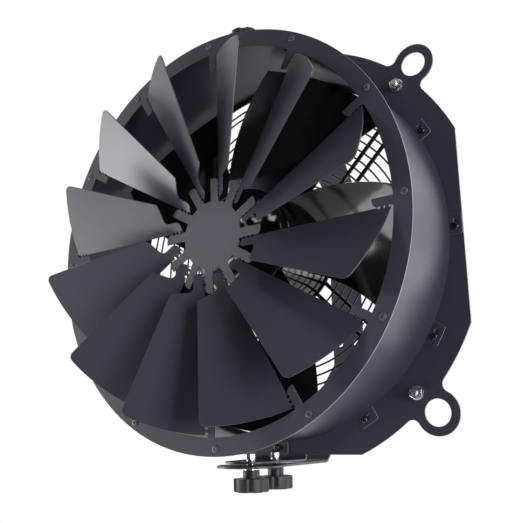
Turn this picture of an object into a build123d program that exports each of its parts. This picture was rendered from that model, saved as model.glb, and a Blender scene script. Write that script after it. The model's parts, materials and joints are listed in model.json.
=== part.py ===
# Destratification fan on a swivelling wall bracket, in millimetres.
# Origin: centre of the wall bracket's wall face. The fan axis is Y, and the air leaves towards -Y.
# X is to the right seen from the front, Z is up.
from build123d import *
from math import acos, atan2, cos, degrees, hypot, radians, sin, sqrt, tan
import os

os.makedirs("parts", exist_ok=True)

# Guide: ring, hub and vanes, cut from one kind of sheet
guide_sheet = 1.5
ring_outer_r = 250.0
ring_width = 20.5
rivet_edge = 8.3  # ring's outer edge to the rivets
vane_count = 12
guide_turn = 0.9  # degrees the guide is turned against the back plate
hub_r = 41.0
bend_offset = 12.0  # distance from a tab's radial line to its bend line
bend_gap = 0.3  # clearance between a vane's rolled edge and its tab
slot_width = 2.6
slot_reach = 2.3  # how far a bend slot goes to each side of the bend line

# Ring tabs and hub fingers, along the radial line and across it
tab_left = 1.0
tab_length = 23.5
ring_slot_inset = 4.5  # ring's inner edge to the first bend slot
slot_pitch = 5.7
finger_left = -0.6
finger_length = 28.0
hub_slot_outset = 5.5  # hub's edge to the first bend slot
tab_corner_r = 7.0

# Vane outline: u runs outwards along the bend line, v across the vane
vane_rim_gap = 2.5  # between a vane's outer edge and the ring
vane_outer_v = 95.0
vane_inner_reach = 27.0  # these three are measured from the hub's edge
vane_inner_v = 39.5
neck_end_reach = 3.5
neck_shoulder_reach = 25.5
neck_v = 13.3
vane_outer_fillet = 8.0
vane_inner_fillet = 3.0
neck_fillet = 6.0
neck_end_fillet = 6.0

# How far each vane is bent forward, clockwise from the top one, degrees
vane_openings = (37, 35, 36, 34, 35, 36, 39, 38, 41, 31, 34, 39)

# Rivets
rivet_r = 2.0
rivet_head_r = 4.2
rivet_head = 1.4

# Drum
drum_depth = 132.6  # ring front face to back plate front face
drum_inset = 13.3  # ring's outer edge to the drum's outside
drum_sheet = 1.2
drum_flange = 11.8
drum_tab_count = 12
drum_tab_width = 25.0
drum_tab_length = 15.3
drum_tab_corner_r = 3.0
drum_screw_outset = 7.5  # drum's outside to the screws
drum_screw_slot = 7.0
drum_screw_r = 2.0
drum_screw_head_r = 4.0
drum_screw_head = 2.4

# Back plate
plate_sheet = 2.0
plate_margin = 0.5  # drum tabs to the plate's edge
plate_corner_reach = 24.0
opening_inset = 6.7  # drum's outside to the plate's opening
lug_overhang = 17.0  # plate's cut corner to a lug's centre
lug_r = 25.3
lug_hole_r = 15.1
lug_fillet = 9.0
guard_bolt_inset = 14.5  # plate's cut corner to a guard bolt

# Swivel flanges, top and bottom, bent forward from the back plate
flange_bend_r = 5.0
flange_root_half = 38.0
flange_nose_r = 30.0
pivot_depth = 71.5  # ring front face to the pivot bolts
lock_distance = 50.5  # pivot bolt to lock bolt

# Wall bracket
standoff = 325.0  # ring front face to the wall
bracket_sheet = 2.5
bracket_gap = 2.5  # between flange and bracket arm, filled by a spacer washer
bracket_head_r = 40.0
bracket_arm_half = 33.0
bracket_base_half = 25.0
bracket_arm_rear = 192.0  # ring front face to where an arm bends inwards
bracket_bend_r = 6.0
wall_hole_r = 4.5
wall_hole_x = 26.0
wall_hole_z = 200.0
pan_limit = 25.0  # degrees each way

# Swivel bolts and knobs
bolt_r = 3.0
bolt_clearance = 0.3
bolt_head_flats = 10.0
bolt_head_height = 6.4
washer_r = 5.5
washer_height = 1.6
seat_clearance = 0.1  # between the bracket arm and the washers that slide on it
knob_washer_r = 8.0
knob_neck_r = 9.75
knob_neck_height = 9.0
knob_r = 20.5
knob_height = 15.0
knob_lobes = 6
knob_scallop_r = 5.0
knob_scallop_outset = 2.25  # knob's edge to the scallops' centres
knob_chamfer = 1.5
knob_bore_depth = 14.0
bolt_end_gap = 1.0  # left at the bottom of the knobs' bores
thread_clearance = 0.05

# Guard bolts
guard_bolt_r = 4.0
guard_bolt_clearance = 0.5
guard_nut_flats = 13.0
guard_nut_height = 6.5
guard_washer_r = 8.0
guard_bolt_end = 4.0
guard_washer = 1.6
guard_head_height = 5.3

# Guard
guard_wire = 2.4
guard_pitch = 11.2
guard_centre_gap = 14.0  # motor plate's edge to the innermost ring, at least
guard_ring_inset = 15.6  # shoulder to the outermost flat ring
guard_depth = 36.0  # back plate rear face to the front of the guard's flat back
guard_arm_wire = 5.6
guard_arm_spacing = 18.5
guard_shoulder_outset = 2.0  # plate's opening to the arms' shoulders
guard_bend_r = 9.0
arm_start = 8.0  # motor plate's bore to the arms' inner ends
skirt_rings = 2

# Motor
motor_plate_sheet = 3.0
motor_plate_r = 66.0
motor_plate_bore_r = 32.0
rotor_r = 68.5
rotor_length = 104.0
rotor_wall = 3.0
rotor_fillet = 5.0
rotor_front = 52.0  # ring front face to the rotor's front face
shaft_r = 6.0
shaft_end = 2.0  # how far it stands out behind the rear bearing
bearing_r = 16.0
bearing_width = 9.0
bearing_seat_wall = 4.0
bearing_shoulder = 2.0
stator_core_length = 32.0
stator_flange_r = 62.0
stator_flange = 6.0
air_gap = 0.8
winding_length = 9.0
winding_inset = 6.0  # windings to the core's outside, and to the bearing tube
winding_round = 2.0
running_clearance = 0.05
running_room = 3.0  # between the rotor's end wall and the bearing tube
motor_screw_r = 3.0
motor_screw_head = 4.0
motor_screw_circle_r = 48.0
gland_r = 6.8
gland_bore_r = 3.6
gland_length = 16.0
gland_floor = 3.2  # left at the bottom of its bore
gland_nut_length = 6.4
gland_chamfer = 1.5

# Impeller
blade_count = 5
blade_tip_gap = 10.0  # to the inside of the drum
blade_sheet = 2.5
blade_depth = 59.0  # along the axis
blade_root_span = 70.0  # round the axis
blade_tip_span = 167.0
blade_turn = 14.5  # degrees from the top to the first blade's root
blade_sweep = 20.0  # degrees the tip lies ahead of the root
blade_sweep_power = 1.3
blade_camber = 0.06
blade_middle = 87.5  # ring front face to the middle of the blades
blade_root_inset = 17.0  # rotor's outside to the innermost section
blade_overrun = 4.0  # outermost section beyond the trimmed tip
impeller_ring_wall = 2.0
impeller_ring_length = 58.0

front_y = -standoff
ring_inner_r = ring_outer_r - ring_width
rivet_circle_r = ring_outer_r - rivet_edge
tab_tip_r = ring_inner_r - tab_length
ring_slot_r = ring_inner_r - ring_slot_inset
finger_tip_r = hub_r + finger_length
hub_slot_r = hub_r + hub_slot_outset
vane_outer_r = ring_inner_r - vane_rim_gap
vane_inner_u = hub_r + vane_inner_reach
neck_end_u = hub_r + neck_end_reach
neck_shoulder_u = hub_r + neck_shoulder_reach
drum_outer_r = ring_outer_r - drum_inset
drum_flange_r = drum_outer_r + drum_flange
drum_tab_r = drum_outer_r + drum_tab_length
drum_screw_circle_r = drum_outer_r + drum_screw_outset
plate_half = drum_tab_r + plate_margin
plate_corner_r = plate_half + plate_corner_reach
plate_opening_r = drum_outer_r - opening_inset
lug_circle_r = plate_corner_r + lug_overhang
guard_bolt_circle_r = plate_corner_r - guard_bolt_inset
guard_shoulder_r = plate_opening_r + guard_shoulder_outset
guard_outer_ring_r = guard_shoulder_r - guard_ring_inset
guard_ring_count = 1 + int((guard_outer_ring_r - motor_plate_r - guard_centre_gap) / guard_pitch)
blade_tip_r = drum_outer_r - drum_sheet - blade_tip_gap
ring_back_y = front_y + guide_sheet
plate_y = front_y + drum_depth
plate_back_y = plate_y + plate_sheet
pivot_y = front_y + pivot_depth
blade_middle_y = front_y + blade_middle
lock_y = pivot_y + lock_distance
flange_in_z = plate_half + flange_bend_r
flange_out_z = flange_in_z + plate_sheet
arm_in_z = flange_out_z + bracket_gap
arm_out_z = arm_in_z + bracket_sheet
roll_r = guide_sheet / 2
tab_right = bend_offset - roll_r - bend_gap
bolt_hole_r = bolt_r + bolt_clearance
swivel_places = ((0, pivot_y), (0, lock_y))


def front_plane(y):
    # Plane across the fan axis, seen from the front: local x is X, local y is Z
    return Plane.XZ.offset(-y)


def export(part, label):
    part.label = label
    export_step(part, f"parts/{label}.step")


def vane_angle(index):
    return 90.0 + guide_turn - index * 360.0 / vane_count


def in_row(first, step):
    return [first + i * step for i in range(3)]


def bend_bridges(slots):
    # The stretches of sheet left between neighbouring bend slots
    ordered = sorted(slots)
    half = slot_width / 2
    return [(a + half, b - half) for a, b in zip(ordered, ordered[1:])]


ring_slots = in_row(ring_slot_r, -slot_pitch)
hub_slots = in_row(hub_slot_r, slot_pitch)


def cut_bend_edge(left, inner, outer, corner, slots):
    # One tab or finger pointing up, with its large corner and its half of the bend slots
    with BuildSketch() as outline:
        with Locations((left, inner)):
            Rectangle(tab_right - left, outer - inner, align=(Align.MIN, Align.MIN))
        fillet(outline.vertices().sort_by_distance((tab_right, corner, 0))[0], tab_corner_r)
        with Locations([(bend_offset, u) for u in slots]):
            SlotOverall(2 * slot_reach, slot_width, mode=Mode.SUBTRACT)
    return outline.sketch


ring_tab = cut_bend_edge(tab_left, tab_tip_r, ring_inner_r + 5, tab_tip_r, ring_slots)
hub_finger = cut_bend_edge(finger_left, hub_r - 5, finger_tip_r, finger_tip_r, hub_slots)

# Guide ring with its tabs
with BuildPart() as guide_ring:
    with BuildSketch(front_plane(front_y)):
        Circle(ring_outer_r)
        Circle(ring_inner_r, mode=Mode.SUBTRACT)
        for index in range(vane_count):
            add(ring_tab, rotation=vane_angle(index) - 90)
        with PolarLocations(rivet_circle_r, vane_count, start_angle=guide_turn):
            Circle(rivet_r, mode=Mode.SUBTRACT)
    extrude(amount=-guide_sheet)
export(guide_ring.part, "guide_ring")

# Guide hub with its fingers
with BuildPart() as guide_hub:
    with BuildSketch(front_plane(front_y)):
        Circle(hub_r)
        for index in range(vane_count):
            add(hub_finger, rotation=vane_angle(index) - 90)
    extrude(amount=-guide_sheet)
export(guide_hub.part, "guide_hub")


def vane_plane(index):
    # Local x crosses the vane from its bend line, local y runs outwards along it
    angle = radians(vane_angle(index))
    opening = radians(vane_openings[index])
    across = Vector(sin(angle), 0, -cos(angle))
    forward = Vector(0, -1, 0)
    slope = across * cos(opening) + forward * sin(opening)
    normal = forward * cos(opening) - across * sin(opening)
    origin = across * bend_offset + Vector(0, front_y + roll_r, 0)
    return Plane(origin=origin, x_dir=slope, z_dir=normal)


def round_corner(outline, place, radius):
    fillet(outline.vertices().sort_by_distance((place[0], place[1], 0))[0], radius)


outer_start = (0, sqrt(vane_outer_r**2 - bend_offset**2))
outer_end = (vane_outer_v, sqrt(vane_outer_r**2 - (bend_offset + vane_outer_v) ** 2))
outer_half = (acos(bend_offset / vane_outer_r) + acos((bend_offset + vane_outer_v) / vane_outer_r)) / 2
outer_mid = (vane_outer_r * cos(outer_half) - bend_offset, vane_outer_r * sin(outer_half))
bend_edge_v = roll_r + bend_gap

# Guide vanes: one flat blank, bent forward at each place
for index in range(vane_count):
    bent = vane_plane(index)
    with BuildPart() as vane:
        with BuildSketch(bent) as blank:
            with BuildLine():
                Polyline(
                    outer_start,
                    (0, neck_end_u),
                    (neck_v, neck_end_u),
                    (neck_v, neck_shoulder_u),
                    (vane_inner_v, vane_inner_u),
                    outer_end,
                )
                ThreePointArc(outer_end, outer_mid, outer_start)
            make_face()
            round_corner(blank, (neck_v, neck_end_u), neck_end_fillet)
            round_corner(blank, (neck_v, neck_shoulder_u), neck_fillet)
            round_corner(blank, (vane_inner_v, vane_inner_u), vane_inner_fillet)
            round_corner(blank, outer_end, vane_outer_fillet)
            with Locations([(0, u) for u in ring_slots + hub_slots]):
                SlotOverall(2 * slot_reach, slot_width, mode=Mode.SUBTRACT)
        extrude(amount=roll_r, both=True)
        # The bend itself, left between the slots, is round about the bend line
        for start, end in bend_bridges(ring_slots) + bend_bridges(hub_slots):
            with BuildSketch(Plane(bent.from_local_coords((0, start, 0)), x_dir=bent.x_dir, z_dir=bent.y_dir)):
                Circle(roll_r)
            extrude(amount=end - start)
    export(vane.part, f"vane_{index + 1:02d}")

# Rivets through the ring and the drum's front flange, domed in front and closed behind
with BuildPart(front_plane(front_y)) as ring_rivets:
    with PolarLocations(rivet_circle_r, vane_count, start_angle=guide_turn):
        Cylinder(rivet_head_r, rivet_head, align=(Align.CENTER, Align.CENTER, Align.MIN))
    chamfer(ring_rivets.faces().filter_by(Axis.Y).group_by(Axis.Y)[0].edges(), rivet_head * 0.6)
    with PolarLocations(rivet_circle_r, vane_count, start_angle=guide_turn):
        Cylinder(rivet_r, guide_sheet + drum_sheet, align=(Align.CENTER, Align.CENTER, Align.MAX))
    with Locations((0, 0, -guide_sheet - drum_sheet)):
        with PolarLocations(rivet_circle_r, vane_count, start_angle=guide_turn):
            Cylinder(rivet_r * 1.4, rivet_r, align=(Align.CENTER, Align.CENTER, Align.MAX))
export(ring_rivets.part, "ring_rivets")

# Drum: rolled shell, front flange for the rivets, rear tabs for the screws
with BuildPart() as drum:
    with BuildSketch(front_plane(ring_back_y)):
        Circle(drum_flange_r)
        Circle(drum_outer_r - drum_sheet, mode=Mode.SUBTRACT)
        with PolarLocations(rivet_circle_r, vane_count, start_angle=guide_turn):
            Circle(rivet_r, mode=Mode.SUBTRACT)
    extrude(amount=-drum_sheet)
    with BuildSketch(front_plane(ring_back_y)):
        Circle(drum_outer_r)
        Circle(drum_outer_r - drum_sheet, mode=Mode.SUBTRACT)
    extrude(amount=-(plate_y - ring_back_y))
    with BuildSketch(front_plane(plate_y)):
        with PolarLocations(drum_tab_r, drum_tab_count):
            RectangleRounded(
                2 * drum_tab_length, drum_tab_width, drum_tab_corner_r, align=(Align.MAX, Align.CENTER)
            )
        Circle(drum_outer_r - drum_sheet, mode=Mode.SUBTRACT)
        with PolarLocations(drum_screw_circle_r, drum_tab_count):
            SlotCenterToCenter(drum_screw_slot, 2 * drum_screw_r + 0.6, rotation=90, mode=Mode.SUBTRACT)
    extrude(amount=drum_sheet)
export(drum.part, "drum")

# Pan-head screws at the clockwise end of each slot
screw_turn = -degrees(drum_screw_slot / 2 / drum_screw_circle_r)
with BuildPart(front_plane(plate_y - drum_sheet)) as drum_screws:
    with PolarLocations(drum_screw_circle_r, drum_tab_count, start_angle=screw_turn):
        Cylinder(drum_screw_head_r, drum_screw_head, align=(Align.CENTER, Align.CENTER, Align.MIN))
    chamfer(drum_screws.faces().filter_by(Axis.Y).group_by(Axis.Y)[0].edges(), drum_screw_head * 0.4)
    with PolarLocations(drum_screw_circle_r, drum_tab_count, start_angle=screw_turn):
        Cylinder(
            drum_screw_r,
            drum_sheet + plate_sheet + 2,
            align=(Align.CENTER, Align.CENTER, Align.MAX),
        )
export(drum_screws.part, "drum_screws")


nose_y = pivot_y - flange_nose_r

# Swivel flange: the top one, bent forward from the plate's edge, with a nose round the pivot bolt
with BuildPart() as swivel_flange:
    bend_y = plate_y - flange_bend_r
    with BuildSketch(Plane.YZ):
        with BuildLine():
            CenterArc((bend_y, plate_half), flange_bend_r, 0, 90)
            Polyline(
                (bend_y, flange_in_z),
                (nose_y, flange_in_z),
                (nose_y, flange_out_z),
                (bend_y, flange_out_z),
            )
            CenterArc((bend_y, plate_half), flange_bend_r + plate_sheet, 0, 90)
            Line((plate_back_y, plate_half), (plate_y, plate_half))
        make_face()
    extrude(amount=flange_root_half, both=True)
    with BuildSketch():
        with Locations((0, pivot_y)):
            Circle(flange_nose_r)
        with Locations((0, plate_back_y)):
            Rectangle(2 * flange_root_half, plate_sheet + flange_bend_r, align=(Align.CENTER, Align.MAX))
        make_hull()
        with Locations(swivel_places):
            Circle(bolt_hole_r, mode=Mode.SUBTRACT)
    extrude(amount=2 * flange_out_z, mode=Mode.INTERSECT)

# Back plate with lifting lugs, fan opening and both swivel flanges
with BuildPart() as back_plate:
    with BuildSketch(front_plane(plate_y)) as outline:
        Rectangle(2 * plate_half, 2 * plate_half)
        Circle(plate_corner_r, mode=Mode.INTERSECT)
        with PolarLocations(lug_circle_r, 4, start_angle=45):
            Circle(lug_r)
        lug_at = lug_circle_r * sin(radians(45))
        waists = outline.vertices().filter_by(
            lambda v: abs(hypot(abs(v.X) - lug_at, abs(v.Y) - lug_at) - lug_r) < plate_sheet / 10
        )
        fillet(waists, lug_fillet)
        Circle(plate_opening_r, mode=Mode.SUBTRACT)
        with PolarLocations(lug_circle_r, 4, start_angle=45):
            Circle(lug_hole_r, mode=Mode.SUBTRACT)
        with PolarLocations(guard_bolt_circle_r, 4, start_angle=45):
            Circle(guard_bolt_r + guard_bolt_clearance, mode=Mode.SUBTRACT)
        with PolarLocations(drum_screw_circle_r, drum_tab_count, start_angle=screw_turn):
            Circle(drum_screw_r, mode=Mode.SUBTRACT)
    extrude(amount=-plate_sheet)
    add(swivel_flange.part)
    add(mirror(swivel_flange.part, about=Plane.XY, mode=Mode.PRIVATE))
export(back_plate.part, "back_plate")

# Wall bracket: flat against the wall, arms slanted at 45 degrees, ends parallel to the flanges
bracket_rear_y = front_y + bracket_arm_rear
base_z = arm_out_z + bracket_rear_y
inset = bracket_sheet * tan(radians(22.5))
head_y = pivot_y - bracket_head_r
with BuildPart() as wall_bracket:
    with BuildSketch(Plane.YZ) as section:
        with BuildLine():
            Polyline(
                (head_y, arm_out_z),
                (bracket_rear_y, arm_out_z),
                (0, base_z),
                (0, 0),
                (-bracket_sheet, 0),
                (-bracket_sheet, base_z - inset),
                (bracket_rear_y - inset, arm_in_z),
                (head_y, arm_in_z),
                close=True,
            )
        make_face()
        round_corner(section, (bracket_rear_y, arm_out_z), bracket_bend_r + bracket_sheet)
        round_corner(section, (bracket_rear_y - inset, arm_in_z), bracket_bend_r)
        round_corner(section, (0, base_z), bracket_bend_r + bracket_sheet)
        round_corner(section, (-bracket_sheet, base_z - inset), bracket_bend_r)
        mirror(about=Plane.XZ)
    extrude(amount=bracket_head_r, both=True)
    with BuildSketch(Plane.XZ):
        Rectangle(2 * bracket_base_half, 2 * base_z)
        for side in (1, -1):
            with BuildLine():
                Polyline(
                    (-bracket_base_half, side * base_z),
                    (-bracket_arm_half, side * (arm_in_z - bracket_bend_r)),
                    (-bracket_head_r, side * (arm_in_z - bracket_bend_r)),
                    (-bracket_head_r, side * arm_out_z),
                    (bracket_head_r, side * arm_out_z),
                    (bracket_head_r, side * (arm_in_z - bracket_bend_r)),
                    (bracket_arm_half, side * (arm_in_z - bracket_bend_r)),
                    (bracket_base_half, side * base_z),
                    close=True,
                )
            make_face()
    extrude(amount=standoff, mode=Mode.INTERSECT)
    with BuildSketch(Plane.XY):
        with Locations((0, pivot_y)):
            Circle(bracket_head_r)
            Rectangle(2 * bracket_arm_half, -pivot_y, align=(Align.CENTER, Align.MIN))
            Circle(bolt_hole_r, mode=Mode.SUBTRACT)
        with BuildLine(mode=Mode.PRIVATE) as sweep_line:
            CenterArc((0, pivot_y), lock_distance, 90 - pan_limit, 2 * pan_limit)
        SlotArc(sweep_line.edges()[0], 2 * bolt_hole_r, mode=Mode.SUBTRACT)
    extrude(amount=2 * arm_out_z, both=True, mode=Mode.INTERSECT)
    with BuildSketch(Plane.XZ):
        with GridLocations(wall_hole_x, wall_hole_z, 2, 2):
            Circle(wall_hole_r)
    extrude(amount=2 * bracket_sheet, both=True, mode=Mode.SUBTRACT)
export(wall_bracket.part, "wall_bracket")

head_seat_z = flange_in_z - washer_height
knob_seat_z = arm_out_z + seat_clearance + 2 * washer_height

# Swivel bolts with their heads inside the flanges
with BuildPart() as swivel_bolts:
    with BuildSketch(Plane.XY.offset(head_seat_z)):
        with Locations(swivel_places):
            RegularPolygon(bolt_head_flats / 2, 6, major_radius=False)
    extrude(amount=-bolt_head_height)
    with BuildSketch(Plane.XY.offset(head_seat_z)):
        with Locations(swivel_places):
            Circle(bolt_r)
    extrude(amount=knob_seat_z - head_seat_z + knob_bore_depth - bolt_end_gap)
    mirror(about=Plane.XY)
export(swivel_bolts.part, "swivel_bolts")


def washer_set(label, seat, height, radius):
    with BuildPart() as washers:
        with BuildSketch(Plane.XY.offset(seat)):
            with Locations(swivel_places):
                Circle(radius)
                Circle(bolt_hole_r, mode=Mode.SUBTRACT)
        extrude(amount=height)
        mirror(about=Plane.XY)
    export(washers.part, label)


washer_set("head_washers", head_seat_z, washer_height, washer_r)
washer_set("spacer_washers", flange_out_z, bracket_gap - seat_clearance, washer_r)
washer_set("knob_washers", arm_out_z + seat_clearance, 2 * washer_height, knob_washer_r)


def star_knob(label, y, side):
    base = Plane((0, y, side * knob_seat_z), x_dir=(1, 0, 0), z_dir=(0, 0, side))
    with BuildPart(base) as knob:
        Cylinder(knob_neck_r, knob_neck_height, align=(Align.CENTER, Align.CENTER, Align.MIN))
        with BuildSketch(base.offset(knob_neck_height)):
            Circle(knob_r)
            with PolarLocations(knob_r + knob_scallop_outset, knob_lobes):
                Circle(knob_scallop_r, mode=Mode.SUBTRACT)
        extrude(amount=knob_height)
        chamfer(knob.faces().sort_by(Axis.Z)[-1 if side > 0 else 0].edges(), knob_chamfer)
        with Locations((0, 0, 0)):
            Cylinder(
                bolt_r + thread_clearance,
                knob_bore_depth,
                align=(Align.CENTER, Align.CENTER, Align.MIN),
                mode=Mode.SUBTRACT,
            )
    export(knob.part, label)


star_knob("pivot_knob_top", pivot_y, 1)
star_knob("lock_knob_top", lock_y, 1)
star_knob("pivot_knob_bottom", pivot_y, -1)
star_knob("lock_knob_bottom", lock_y, -1)

arm_front_y = plate_back_y + guard_depth
arm_half = guard_arm_wire / 2
skirt_inner_r = guard_shoulder_r - arm_half

# Guard arms: four hairpins of square bar, each looped round its bolt
with BuildPart() as guard_arms:
    for index in range(4):
        turn = radians(45 + 90 * index)
        along = Vector(cos(turn), 0, sin(turn))
        across = Vector(-sin(turn), 0, cos(turn))
        back = arm_front_y + arm_half
        foot = plate_back_y + arm_half
        start = along * (motor_plate_bore_r + arm_start) + Vector(0, back, 0)
        for side in (1, -1):
            offset_line = across * (side * guard_arm_spacing / 2)
            bar = Plane(origin=start + offset_line, x_dir=across, z_dir=along)
            with BuildLine() as route:
                FilletPolyline(
                    start + offset_line,
                    along * guard_shoulder_r + offset_line + Vector(0, back, 0),
                    along * guard_shoulder_r + offset_line + Vector(0, foot, 0),
                    along * guard_bolt_circle_r + offset_line + Vector(0, foot, 0),
                    radius=guard_bend_r,
                )
            with BuildSketch(bar):
                Rectangle(guard_arm_wire, guard_arm_wire)
            sweep(path=route.wires()[0])
        with BuildSketch(front_plane(plate_back_y)):
            with Locations((guard_bolt_circle_r * cos(turn), guard_bolt_circle_r * sin(turn))):
                Circle(guard_arm_spacing / 2 + arm_half)
                Circle(guard_arm_spacing / 2 - arm_half, mode=Mode.SUBTRACT)
            with Locations(Location((0, 0, 0), (0, 0, 1), degrees(turn))):
                Rectangle(
                    guard_bolt_circle_r,
                    4 * guard_arm_spacing,
                    align=(Align.MIN, Align.CENTER),
                    mode=Mode.SUBTRACT,
                )
        extrude(amount=-guard_arm_wire)
export(guard_arms.part, "guard_arms")

# Guard rings, welded to the front of the arms
with BuildPart() as guard_ring_set:
    with BuildSketch(front_plane(arm_front_y)):
        for index in range(guard_ring_count):
            ring_r = guard_outer_ring_r - index * guard_pitch
            Circle(ring_r + guard_wire / 2)
            Circle(ring_r - guard_wire / 2, mode=Mode.SUBTRACT)
    extrude(amount=guard_wire)
export(guard_ring_set.part, "guard_rings")

# Skirt rings, inside the arms where they run forward to the plate
skirt_pitch = guard_depth / (skirt_rings + 1)
with BuildPart() as guard_skirt:
    for index in range(skirt_rings):
        with BuildSketch(front_plane(plate_back_y + (index + 1) * skirt_pitch)):
            Circle(skirt_inner_r)
            Circle(skirt_inner_r - guard_wire, mode=Mode.SUBTRACT)
        extrude(amount=guard_wire)
export(guard_skirt.part, "guard_skirt")

# Motor plate, welded to the front of the arms
motor_plate_y = arm_front_y - motor_plate_sheet
with BuildPart() as motor_plate:
    with BuildSketch(front_plane(motor_plate_y)):
        Circle(motor_plate_r)
        Circle(motor_plate_bore_r, mode=Mode.SUBTRACT)
        with PolarLocations(motor_screw_circle_r, 4):
            Circle(motor_screw_r, mode=Mode.SUBTRACT)
    extrude(amount=-motor_plate_sheet)
export(motor_plate.part, "motor_plate")

# Guard bolts: head behind the hairpin loops, nut on the front of the back plate
bolt_front_y = plate_y - guard_washer - guard_nut_height - guard_bolt_end
loop_back_y = plate_back_y + guard_arm_wire
bolt_seat_y = loop_back_y + guard_washer
with BuildPart() as guard_bolts:
    with BuildSketch(front_plane(bolt_seat_y)):
        with PolarLocations(guard_bolt_circle_r, 4, start_angle=45):
            RegularPolygon(guard_nut_flats / 2, 6, major_radius=False)
    extrude(amount=-guard_head_height)
    with BuildSketch(front_plane(bolt_seat_y)):
        with PolarLocations(guard_bolt_circle_r, 4, start_angle=45):
            Circle(guard_bolt_r)
    extrude(amount=bolt_seat_y - bolt_front_y)
export(guard_bolts.part, "guard_bolts")

with BuildPart() as guard_nuts:
    with BuildSketch(front_plane(plate_y - guard_washer)):
        with PolarLocations(guard_bolt_circle_r, 4, start_angle=45):
            RegularPolygon(guard_nut_flats / 2, 6, major_radius=False)
            Circle(guard_bolt_r, mode=Mode.SUBTRACT)
    extrude(amount=guard_nut_height)
export(guard_nuts.part, "guard_nuts")

with BuildPart() as guard_washers:
    for seat, radius in ((plate_y, guard_washer_r), (bolt_seat_y, guard_arm_spacing / 2 + arm_half)):
        with BuildSketch(front_plane(seat)):
            with PolarLocations(guard_bolt_circle_r, 4, start_angle=45):
                Circle(radius)
                Circle(guard_bolt_r + guard_bolt_clearance, mode=Mode.SUBTRACT)
        extrude(amount=guard_washer)
export(guard_washers.part, "guard_washers")

# Motor stator: flange and bearing tube
rotor_front_y = front_y + rotor_front
flange_front_y = motor_plate_y - stator_flange
tube_r = bearing_r + bearing_seat_wall
tube_front_y = rotor_front_y + rotor_wall + running_room
with BuildPart() as motor_stator:
    with BuildSketch(front_plane(motor_plate_y)):
        Circle(stator_flange_r)
        Circle(bearing_r, mode=Mode.SUBTRACT)
        with PolarLocations(motor_screw_circle_r, 4):
            Circle(motor_screw_r, mode=Mode.SUBTRACT)
    extrude(amount=stator_flange)
    with BuildSketch(front_plane(flange_front_y)):
        Circle(tube_r)
        Circle(bearing_r, mode=Mode.SUBTRACT)
    extrude(amount=flange_front_y - tube_front_y)
    with BuildSketch(front_plane(tube_front_y + bearing_width)):
        Circle(bearing_r)
        Circle(bearing_r - bearing_shoulder, mode=Mode.SUBTRACT)
    extrude(amount=-(flange_front_y + stator_flange - tube_front_y - 2 * bearing_width))
export(motor_stator.part, "motor_stator")

for label, seat in (("front_bearing", tube_front_y + bearing_width), ("rear_bearing", motor_plate_y)):
    with BuildPart() as bearing:
        with BuildSketch(front_plane(seat)):
            Circle(bearing_r)
            Circle(shaft_r + running_clearance, mode=Mode.SUBTRACT)
        extrude(amount=bearing_width)
    export(bearing.part, label)

core_r = rotor_r - rotor_wall - air_gap
core_rear_y = (tube_front_y + flange_front_y + stator_core_length) / 2
with BuildPart() as stator_core:
    with BuildSketch(front_plane(core_rear_y)):
        Circle(core_r)
        Circle(tube_r, mode=Mode.SUBTRACT)
    extrude(amount=stator_core_length)
export(stator_core.part, "stator_core")

winding_r = core_r - winding_inset
with BuildPart() as stator_winding:
    for seat in (core_rear_y + winding_length, core_rear_y - stator_core_length):
        with BuildSketch(front_plane(seat)):
            Circle(winding_r)
            Circle(tube_r + winding_inset, mode=Mode.SUBTRACT)
        extrude(amount=winding_length)
    chamfer(stator_winding.edges().filter_by(GeomType.CIRCLE), winding_round)
export(stator_winding.part, "stator_winding")

with BuildPart() as motor_screws:
    with BuildSketch(front_plane(arm_front_y)):
        with PolarLocations(motor_screw_circle_r, 4):
            RegularPolygon(bolt_head_flats / 2, 6, major_radius=False)
    extrude(amount=-motor_screw_head)
    with BuildSketch(front_plane(arm_front_y)):
        with PolarLocations(motor_screw_circle_r, 4):
            Circle(motor_screw_r)
    extrude(amount=motor_plate_sheet + stator_flange)
export(motor_screws.part, "motor_screws")

# Cable gland on the stator flange, between the rear bearing and the motor plate's bore
gland_z = -(bearing_r + motor_plate_bore_r) / 2
with BuildPart() as cable_gland:
    with BuildSketch(front_plane(motor_plate_y)):
        with Locations((0, gland_z)):
            RegularPolygon(gland_r, 6, major_radius=False)
    extrude(amount=-gland_nut_length)
    with BuildSketch(front_plane(motor_plate_y)):
        with Locations((0, gland_z)):
            Circle(gland_r)
    extrude(amount=-gland_length)
    chamfer(cable_gland.faces().sort_by(Axis.Y)[-1].edges(), gland_chamfer)
    with BuildSketch(front_plane(motor_plate_y + gland_length)):
        with Locations((0, gland_z)):
            Circle(gland_bore_r)
    extrude(amount=gland_length - gland_floor, mode=Mode.SUBTRACT)
export(cable_gland.part, "cable_gland")

# Motor shaft and rotor can
with BuildPart() as motor_shaft:
    with BuildSketch(front_plane(motor_plate_y + shaft_end)):
        Circle(shaft_r)
    extrude(amount=motor_plate_y + shaft_end - rotor_front_y - rotor_wall)
export(motor_shaft.part, "motor_shaft")

with BuildPart() as rotor_can:
    with BuildSketch(front_plane(rotor_front_y)):
        Circle(rotor_r)
    extrude(amount=-rotor_length)
    fillet(rotor_can.faces().sort_by(Axis.Y)[0].edges(), rotor_fillet)
    with BuildSketch(front_plane(rotor_front_y + rotor_wall)):
        Circle(rotor_r - rotor_wall)
    extrude(amount=-rotor_length, mode=Mode.SUBTRACT)
export(rotor_can.part, "rotor_can")


blade_inner_r = rotor_r - blade_root_inset
blade_outer_r = blade_tip_r + blade_overrun


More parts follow.
